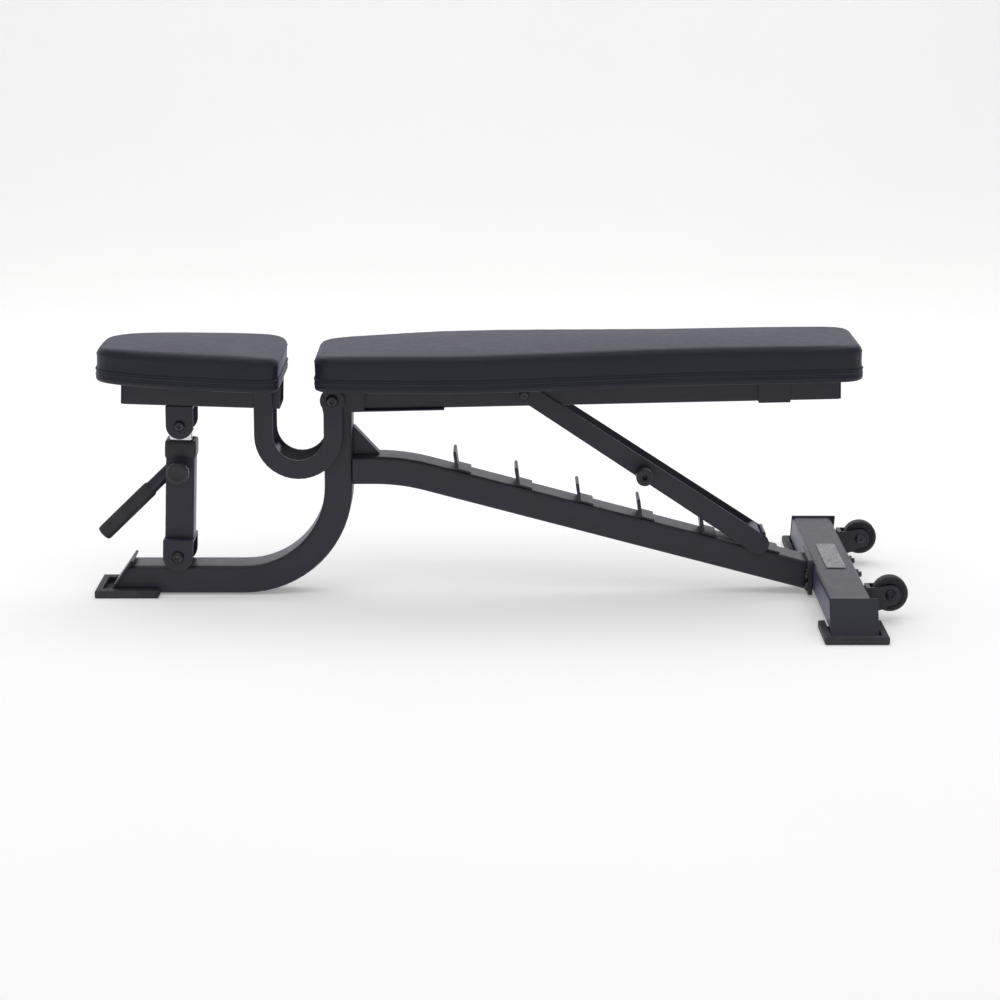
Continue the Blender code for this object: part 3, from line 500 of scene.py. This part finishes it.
# ---- pads ---------------------------------------------------------------------------------------
def even(points, count):
    """The same closed outline with evenly spaced points."""
    closed = points + points[:1]
    lengths = [0.0]
    for a, b in zip(closed, closed[1:]):
        lengths.append(lengths[-1] + math.hypot(b[0] - a[0], b[1] - a[1]))
    out = []
    place = 0
    for i in range(count):
        target = lengths[-1] * i / count
        while lengths[place + 1] < target:
            place += 1
        share = (target - lengths[place]) / (lengths[place + 1] - lengths[place])
        a, b = closed[place], closed[place + 1]
        out.append((a[0] + (b[0] - a[0]) * share, a[1] + (b[1] - a[1]) * share))
    return out


def seat_plan():
    """Blunt round nose, widening towards the hinge, with round rear corners."""
    length = SEAT_SPAN[1] - SEAT_SPAN[0]
    steps = 70
    crowding = 2.6                # packs the points towards the nose
    taper, bluntness = 1.29, 0.20
    side = []
    for i in range(1, steps + 1):
        along = (i / steps) ** crowding * (length - SEAT_CORNER)
        width = SEAT_HALF * (1 - (1 - along / length) ** taper) ** bluntness
        side.append((SEAT_SPAN[0] + along, width))
    side += arc((SEAT_SPAN[1] - SEAT_CORNER, side[-1][1] - SEAT_CORNER), SEAT_CORNER, 90, 0, 12)[1:]
    return even([(SEAT_SPAN[0], 0.0)] + side + [(x, -y) for x, y in reversed(side)], PLAN_POINTS)


def back_plan():
    """Narrow at the hinge, widest a quarter of the way up, then easing in to the head."""
    widest_at, easing_over = 0.27, 0.45
    steps = 80

    def ease(t):
        t = min(max(t, 0.0), 1.0)
        return t * t * (3 - 2 * t)

    def half(share):
        wide = BACK_HALF_HINGE + (BACK_HALF_WIDE - BACK_HALF_HINGE) * ease(share / widest_at)
        return wide + (BACK_HALF_HEAD - BACK_HALF_WIDE) * ease((share - widest_at) / easing_over)

    length = BACK_SPAN[1] - BACK_SPAN[0]
    start, end = BACK_CORNER_HINGE, BACK_CORNER_HEAD
    side = arc((BACK_SPAN[0] + start, half(0) - start), start, 180, 90, 12)
    side += [(BACK_SPAN[0] + share * length, half(share))
             for share in (0.05 + 0.9 * i / steps for i in range(steps + 1))]
    side += arc((BACK_SPAN[1] - end, half(1) - end), end, 90, 0, 12)
    return even(side + [(x, -y) for x, y in reversed(side)], PLAN_POINTS)


def pad_shell(name, plan, top):
    """Closed firm block inside the CAD pad, with a round top edge and a slight arch from end to end."""
    low = top - PAD_EDGE
    set_in = 0.0002
    side = [(0.003, PAD_BOTTOM + 0.0006), (0.0006, PAD_BOTTOM + 0.003), (0.0008, 0.058), (set_in, low)]
    side += [(set_in + PAD_EDGE * (1 - cos(radians(a))), low + PAD_EDGE * sin(radians(a)))
             for a in (22, 45, 68, 90)]
    start, end = min(x for x, y in plan), max(x for x, y in plan)

    def arched(x, z):
        share = 2 * (x - start) / (end - start) - 1
        return z + ARCH * (1 - share ** 4) * (z > ARCH_ABOVE)

    return plan_loft(name, plan, side, arched)


def outline_tree(plan):
    """A search tree over a plan's points."""
    tree = KDTree(len(plan))
    for number, (x, y) in enumerate(plan):
        tree.insert(Vector((x, y, 0)), number)
    tree.balance()
    return tree


def inflate(obj, plan, top):
    """Remesh the block evenly and swell its panels between the sewn edges."""
    remesh = obj.modifiers.new("remesh", "REMESH")
    remesh.mode = "VOXEL"
    remesh.voxel_size = VOXEL
    bake_modifiers(obj)
    rest = [v.co.copy() for v in obj.data.vertices]
    tree = outline_tree(plan)
    start, end = min(x for x, y in plan), max(x for x, y in plan)

    def away(point):
        return tree.find(Vector((point.x, point.y, 0)))[2]

    def calm(x):
        return min(1.0, (x - start) / CALM_END, (end - x) / CALM_END)

    moved = cloth_swell(obj, rest, away, calm, top)
    for vertex, place in zip(obj.data.vertices, moved):
        vertex.co = place
    obj.vertex_groups.clear()


def cloth_swell(obj, rest, away, calm, top):
    """Blow the cover up with cloth pressure, held at its top rim and lower band, then limit the movement."""
    rim_low = top - PAD_EDGE - 0.004
    held = obj.vertex_groups.new(name="held")
    for number, point in enumerate(rest):
        rim = point.z > rim_low and away(point) < PAD_EDGE
        if rim or point.z < HELD_BELOW:
            held.add([number], 1.0, "REPLACE")
    cloth = obj.modifiers.new("cloth", "CLOTH")
    cloth.settings.vertex_group_mass = "held"
    cloth.settings.use_pressure = True
    cloth.settings.uniform_pressure_force = 4.0
    cloth.settings.effector_weights.gravity = 0.0
    cloth.settings.quality = 5
    cloth.settings.mass = 0.3
    cloth.settings.tension_stiffness = 40
    cloth.settings.compression_stiffness = 40
    cloth.settings.bending_stiffness = 2.0
    cloth.point_cache.frame_start = 1
    cloth.point_cache.frame_end = CLOTH_STEPS
    for number in range(1, CLOTH_STEPS + 1):
        bpy.context.scene.frame_set(number)
    graph = bpy.context.evaluated_depsgraph_get()
    swollen = obj.evaluated_get(graph).to_mesh()
    moved = [v.co.copy() for v in swollen.vertices]
    obj.evaluated_get(graph).to_mesh_clear()
    obj.modifiers.clear()
    bpy.context.scene.frame_set(1)
    rises = [(b - a).z for a, b in zip(rest, moved) if a.z > top - TOP_SKIN]
    lift = min(1.0, SWELL / max(max(rises), 1e-6))
    return [a + Vector((cap((b - a).x, SIDE_SWELL), cap((b - a).y, SIDE_SWELL), (b - a).z * lift * calm(a.x)))
            for a, b in zip(rest, moved)]


def cap(value, most):
    return max(-most, min(most, value))


def pucker(obj, plan, top):
    """Gather the vinyl in small upright folds where the side panel turns the corners."""
    span = 5                      # plan points on each side over which the turn is measured
    full_turn = 0.9               # radians of turn that give the deepest folds
    fold_depth = 0.0011
    side_reach = 0.012            # only points this close to the outline, and below the top's edge, move
    edge_gap = 0.004
    count = len(plan)
    turn = []
    for i in range(count):
        a, b, c = plan[i - span], plan[i], plan[(i + span) % count]
        first = atan2(b[1] - a[1], b[0] - a[0])
        second = atan2(c[1] - b[1], c[0] - b[0])
        bend = abs((second - first + pi) % (2 * pi) - pi)
        turn.append(min(1.0, bend / full_turn))
    tree = outline_tree(plan)
    normals = inward_normals(plan)
    for vertex in obj.data.vertices:
        _, number, distance = tree.find(Vector((vertex.co.x, vertex.co.y, 0)))
        if distance > side_reach or vertex.co.z > top - edge_gap:
            continue
        fold = sin(number * 1.9) * 0.6 + sin(number * 0.83 + 1.3) * 0.4
        rise = (vertex.co.z - PAD_BOTTOM) / (top - PAD_BOTTOM)
        depth = fold_depth * turn[number] * fold * (0.35 + 0.65 * (1 - rise))
        vertex.co.x += normals[number][0] * depth
        vertex.co.y += normals[number][1] * depth


def bake_modifiers(obj):
    """Replace an object's mesh with what its modifiers make of it."""
    graph = bpy.context.evaluated_depsgraph_get()
    mesh = bpy.data.meshes.new_from_object(obj.evaluated_get(graph))
    obj.modifiers.clear()
    obj.data = mesh


def build_pad(label, plan, top, tilt):
    """One pad: swollen cover, top welt, side seams and the band that rolls under the board."""
    place = Matrix.Translation(HINGE) @ Matrix.Rotation(tilt, 4, "Y")
    cover = pad_shell(f"{label}_cover", plan, top)
    inflate(cover, plan, top)
    pucker(cover, plan, top)
    smooth = cover.modifiers.new("subdivision", "SUBSURF")
    smooth.levels = smooth.render_levels = 1
    bake_modifiers(cover)
    cover.data.transform(place)
    cover.data.shade_smooth()
    piece(cover, label, "pad_vinyl", f"{label}_pad")

    piece(sweep_ring(f"{label}_band", plan, BAND, place), label, "pad_vinyl")
    steps = 8
    for name, inset, height, radius in (("upper_seam", -0.0003, 0.0437, 0.0014),
                                        ("lower_seam", -0.0001, 0.0349, 0.0013),
                                        ("top_welt", 0.0006, top - PAD_EDGE, 0.0008)):
        bead = [(inset + radius * cos(2 * pi * i / steps), height + radius * sin(2 * pi * i / steps))
                for i in range(steps)]
        piece(sweep_ring(f"{label}_{name}", plan, bead, place), label, "pad_vinyl")


# ---- turned and lofted hardware -----------------------------------------------------------------
def hex_rim(apothem):
    """Ripple that turns the rings of one radius into a hexagon with that apothem."""
    def factor(angle, radius, along):
        if abs(radius - apothem) > 1e-6:
            return 1.0
        return 1 / cos(angle % HEX - HEX / 2)
    return factor


def socket_bolt(node, body, head_t, shank):
    """Button-head bolt with a hex socket at both ends, along Y, in the place of a CAD bolt."""
    low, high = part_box(node)
    centre = (low + high) / 2
    head = (high.x - low.x) / 2
    tip = (high.y - low.y) / 2
    base = tip - head_t
    socket = head * 0.42
    half = [(shank, base), (head * 0.97, base), (head, base + head_t * 0.12),
            (head * 0.99, base + head_t * 0.35), (head * 0.92, base + head_t * 0.62),
            (head * 0.80, base + head_t * 0.84), (head * 0.64, tip - head_t * 0.03), (head * 0.56, tip),
            (socket + 0.0003, tip), (socket, tip - head_t * 0.08), (socket, tip - head_t * 0.62),
            (0, tip - head_t * 0.72)]
    profile = [(radius, -along) for radius, along in reversed(half)] + half
    made = turned(f"{node}_turned", profile, along_y(centre), ripple=hex_rim(socket))
    piece(made, body, "fastener", node)


def flange_bolt_pair(node):
    """Two button heads on the beam's side, their nuts, washers and shared nut plate, along X."""
    low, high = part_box(node)
    y = (low.y + high.y) / 2
    start, end = low.x, high.x
    base = start + 0.0055         # where the head meets its shank
    nut = end - 0.013             # where the washer starts
    shank, socket, washer, flats = 0.0050, 0.0036, 0.0092, 0.0078
    in_socket, on_flats = hex_rim(socket), hex_rim(flats)
    profile = [(0, start + 0.0032), (socket, start + 0.003), (socket, start + 0.0003), (0.0052, start),
               (0.0072, start + 0.0008), (0.0086, start + 0.0026), (0.0090, start + 0.0046),
               (0.0088, base), (shank, base), (shank, nut), (washer, nut), (washer, nut + 0.0012),
               (flats, nut + 0.0012), (flats, nut + 0.0076), (0.0070, nut + 0.0080),
               (0.0048, nut + 0.0080), (0.0048, end - 0.0008), (0.0040, end), (0, end)]

    def socket_and_nut(angle, radius, along):
        return in_socket(angle, radius, along) * on_flats(angle, radius, along)

    for number, z in enumerate(FLANGE_BOLT_Z, 1):
        place = Matrix.Translation((0, y, z)) @ Matrix.Rotation(pi / 2, 4, "Y")
        made = turned(f"{node}_{number}", profile, place, ripple=socket_and_nut)
        if number == 1:
            piece(made, "root", "fastener", node)
        else:
            piece(made, "root", "fastener")
    plate = nut_plate(f"{node}_plate")
    middle = Vector((end - 0.0153, y, sum(FLANGE_BOLT_Z) / 2))
    plate.data.transform(Matrix.Translation(middle) @ Matrix.Rotation(pi / 2, 4, "Y")
                         @ Matrix.Rotation(pi / 2, 4, "Z"))
    piece(plate, "root", "fastener")


def nut_plate(name):
    """Plate with round corners, lying on Z = 0. Its two faces stand a little past its waist."""
    thick, lip = 0.0022, 0.0006
    levels = [(lip, 0), (0, lip), (0, thick - lip), (lip, thick)]
    return plan_loft(name, round_rectangle(0.011, 0.0175, 0.003), levels)


def square_sleeve(name, outer, inner, matrix):
    """Square sleeve with round corners, from outer and inner (height, half width, corner) stations."""
    bm = bmesh.new()
    rings = [[bm.verts.new((x, y, height)) for x, y in round_rectangle(half, half, corner)]
             for height, half, corner in outer + inner]
    skin(bm, rings, closed=True)
    return mesh_object(bm, name, matrix, sharp=50)


def mirrored(half_profile):
    """A profile for both sides of a wheel, from its near half."""
    return half_profile + [(radius, -along) for radius, along in reversed(half_profile)]


def wheel(label):
    """Grooved tyre with round shoulders, a hub with a sunk web and six ribs, and the axle bolt."""
    low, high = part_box(f"wheel_tyre_{label}")
    centre = (low + high) / 2
    outer = (high.x - low.x) / 2
    half = (high.y - low.y) / 2
    shoulder = 0.0042
    flank = [(0.0215, half - 0.0008), (0.0223, half), (0.0240, half), (0.0248, half - 0.0009),
             (outer - shoulder, half - 0.0002)]
    flank += [(outer - shoulder + shoulder * sin(radians(a)), half - shoulder * (1 - cos(radians(a))))
              for a in (25, 50, 72, 90)]
    groove = 0.0010
    tread = [(outer, 0.0052), (outer - groove, 0.0047), (outer - groove, 0.0035), (outer, 0.0030)]
    tyre = turned(f"tyre_{label}", mirrored(flank + tread), along_y(centre), 96)
    piece(tyre, f"wheel_{label}", "tyre", f"wheel_tyre_{label}")

    hub = ribbed_hub(f"hub_{label}", f"wheel_hub_{label}", half - 0.0010, along_y(centre))
    piece(hub, f"wheel_{label}", "black_plastic", f"wheel_hub_{label}")
    socket_bolt(f"wheel_axle_{label}", "root", 0.0045, 0.005)


def ribbed_hub(name, node, face, matrix):
    """Hub in the place of a CAD hub, with its rim's face at a distance from the middle."""
    low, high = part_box(node)
    boss_tip = (high.y - low.y) / 2
    web = 0.0060
    rib_half, rib_reach, rib_top = 0.0013, 0.0179, face - 0.0018
    steps = 72

    def ribbed(radius, along, angle):
        near_rib = abs((angle + HEX / 2) % HEX - HEX / 2) * radius < rib_half
        if near_rib and abs(abs(along) - web) < 1e-6 and radius < rib_reach:
            return math.copysign(rib_top, along)
        return along

    profile = mirrored([(0.0053, boss_tip), (0.0088, boss_tip), (0.0095, boss_tip - 0.0006), (0.0096, web),
                        (0.0110, web), (0.0130, web), (0.0150, web), (0.0170, web), (0.0178, web),
                        (0.0182, face - 0.0005), (0.0186, face), (0.0206, face), (0.0212, face - 0.0006)])
    bm = bmesh.new()
    angles = [2 * pi * i / steps for i in range(steps)]
    rings = [[bm.verts.new((radius * cos(a), radius * sin(a), ribbed(radius, along, a))) for a in angles]
             for radius, along in profile]
    skin(bm, rings, closed=True)
    return mesh_object(bm, name, matrix)


# ---- seat post ----------------------------------------------------------------------------------
def post_frame():
    """The post's own directions: origin on its lower pivot, Z along the post."""
    lean = atan2(POST_UP.x, POST_UP.z)
    return Matrix.Translation(POST_PIVOT) @ Matrix.Rotation(lean, 4, "Y")


def post_details():
    """Collar, pull knob with its pin and housing ring, and the handle's grip."""
    frame_of_post = post_frame()
    sleeve = 0.0248
    outer = [(0.1690, 0.0253, 0.0050), (0.1698, 0.0260, 0.0056), (0.1722, 0.0266, 0.0060),
             (0.1780, 0.0268, 0.0062), (0.1850, 0.0268, 0.0062), (0.1925, 0.0267, 0.0060),
             (0.1965, 0.0263, 0.0056), (0.1985, 0.0254, 0.0052), (0.1990, 0.0240, 0.0046)]
    inner = [(0.1990, 0.0212, 0.0026), (0.1984, 0.0206, 0.0024), (0.1934, 0.0205, 0.0022),
             (0.1934, sleeve, 0.0042), (0.1692, sleeve, 0.0042)]
    collar = square_sleeve("collar_moulding", outer, inner, frame_of_post)
    piece(collar, "post_outer", "black_plastic", "post_collar")
    knob_and_pin(frame_of_post)
    handle(frame_of_post)


def knob_and_pin(frame_of_post):
    """Pull knob with a fluted rim and a dished face, its pin, and the hexagonal ring round its housing."""
    flutes, flute_depth = 16, 0.045
    rim_from, rim_low, rim_high = 0.0174, 0.0500, 0.0640

    def fluted(angle, radius, along):
        if radius < rim_from or not rim_low <= along <= rim_high:
            return 1.0
        return 1.0 - flute_depth * (0.5 - 0.5 * cos(flutes * angle)) ** 2

    profile = [(0, 0.0403), (0.0098, 0.0403), (0.0104, 0.0409), (0.0110, 0.0450), (0.0128, 0.0470),
               (0.0166, 0.0484), (0.0180, 0.0496), (0.0188, 0.0515), (0.0190, 0.0540), (0.0190, 0.0575),
               (0.0190, 0.0610), (0.0187, 0.0632), (0.0180, 0.0648), (0.0166, 0.0660), (0.0142, 0.0665),
               (0.0120, 0.0664), (0.0100, 0.0657), (0.0060, 0.0652), (0, 0.0651)]
    place = frame_of_post @ Matrix.Translation((0, 0, PIN_UP)) @ Matrix.Rotation(pi / 2, 4, "X")
    piece(turned("knob_fluted", profile, place, 128, fluted), "pin", "black_plastic", "pull_knob")
    shank = [(0, 0.0130), (0.0024, 0.0130), (0.0037, 0.0146), (0.0040, 0.0160), (0.0040, 0.0400),
             (0, 0.0400)]
    piece(turned("pin_turned", shank, place, 40), "pin", "fastener", "pull_pin")
    flats = 0.0103
    ring = [(0.0050, 0.0378), (0.0093, 0.0378), (0.0101, 0.0370), (flats, 0.0345), (flats, 0.0262),
            (0.0112, 0.0249), (0.0050, 0.0249)]
    piece(turned("pin_housing_ring", ring, place, 56, hex_rim(flats)), "post_outer", "frame_paint")


def handle(frame_of_post):
    """Rough rubber grip over the end of the CAD's handle bar."""
    heading = radians(226)
    up = 0.1385                   # where the bar leaves the post, above the lower pivot
    away = Vector((cos(heading), 0, sin(heading)))
    start = Vector((-POST_HALF - 0.0003, 0, up))
    turn = away.to_track_quat("Z", "Y").to_matrix().to_4x4()
    place = frame_of_post @ Matrix.Translation(start) @ turn
    rough_from, rough_to = 0.0128, 0.1520
    grains, grain_depth = 650, 0.035

    def speckled(angle, radius, along):
        if radius < rough_from or along > rough_to:
            return 1.0
        spot = Vector((radius * cos(angle), radius * sin(angle), along)) * grains
        return 1.0 + grain_depth * noise.noise(spot)

    rings = 160
    profile = [(0.0119, 0.0388), (0.0124, 0.0388), (0.0128, 0.0394), (0.0132, 0.0410), (0.0135, 0.0430)]
    profile += [(0.0136, 0.0440 + 0.1055 * i / rings) for i in range(rings + 1)]
    profile += [(0.0135, 0.1510), (0.0130, 0.1530), (0.0120, 0.1543), (0.0100, 0.1549), (0.0060, 0.1551),
                (0, 0.1551), (0, 0.1506), (0.0119, 0.1504)]
    piece(turned("grip_speckled", profile, place, 110, speckled), "post_outer", "rubber", "handle_grip")


# ---- strut --------------------------------------------------------------------------------------
def strut_details():
    """Lifting pegs: a bored roller with two rims at each end of one rod, along Y."""
    low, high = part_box("lifting_pegs")
    centre = (low + high) / 2
    outer = (high.x - low.x) / 2
    far = (high.y - low.y) / 2
    near = far - 0.0397           # inner end of a roller, from the middle
    half = [(0.0060, near), (outer - 0.0012, near), (outer, near + 0.0012), (outer, near + 0.0040),
            (outer - 0.0007, near + 0.0048), (outer - 0.0007, far - 0.0072), (outer, far - 0.0064),
            (outer, far - 0.0022), (outer - 0.0006, far - 0.0008), (outer - 0.0020, far), (0.0088, far),
            (0.0078, far - 0.0006), (0.0074, far - 0.0022), (0.0048, far - 0.0024), (0.0045, far - 0.0030),
            (0.0045, far - 0.0120), (0, far - 0.0122)]
    profile = [(radius, -along) for radius, along in reversed(half)] + half
    piece(turned("pegs_turned", profile, along_y(centre), 64), "strut", "black_plastic", "lifting_pegs")


# ---- build --------------------------------------------------------------------------------------
stage()
dress_nodes()
build_pad("seat", seat_plan(), SEAT_TOP, SEAT_TILT)
build_pad("back", back_plan(), BACK_TOP, -BACK_TILT)
for bolt_node, bolt_body, bolt_head, bolt_shank in BOLTS:
    socket_bolt(bolt_node, bolt_body, bolt_head, bolt_shank)
flange_bolt_pair("flange_bolts_near")
flange_bolt_pair("flange_bolts_far")
wheel("near")
wheel("far")
post_details()
strut_details()
